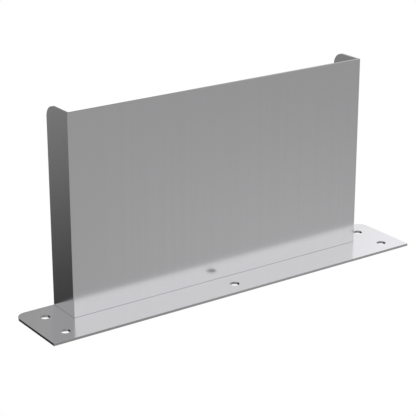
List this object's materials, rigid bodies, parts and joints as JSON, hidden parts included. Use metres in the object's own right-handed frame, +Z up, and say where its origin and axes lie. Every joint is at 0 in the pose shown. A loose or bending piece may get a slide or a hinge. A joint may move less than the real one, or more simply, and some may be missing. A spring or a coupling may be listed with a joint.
{
  "type": "bolt-down sheet metal shield",
  "caption": "Upright shield folded from satin stainless sheet, with a return at each end, stitch-welded to a flat base plate that bolts down.",
  "frame": {"origin": "centre of the base plate's underside", "axes": "+X along the base plate, +Y towards the open back with -Y the panel's front, +Z up"},
  "size_m": [0.5, 0.089, 0.2358],
  "materials": {
    "satin_stainless": "satin, fine upright grain",
    "weld_metal": "as welded, rippled, faint heat tint"
  },
  "bodies": {
    "root": {"base_plate": "satin_stainless", "folded_shield": "satin_stainless", "panel_weld_1": "weld_metal", "panel_weld_2": "weld_metal", "panel_weld_3": "weld_metal", "panel_weld_4": "weld_metal", "panel_weld_5": "weld_metal", "left_return_weld_1": "weld_metal", "left_return_weld_2": "weld_metal", "right_return_weld_1": "weld_metal", "right_return_weld_2": "weld_metal"}
  },
  "joints": []
}
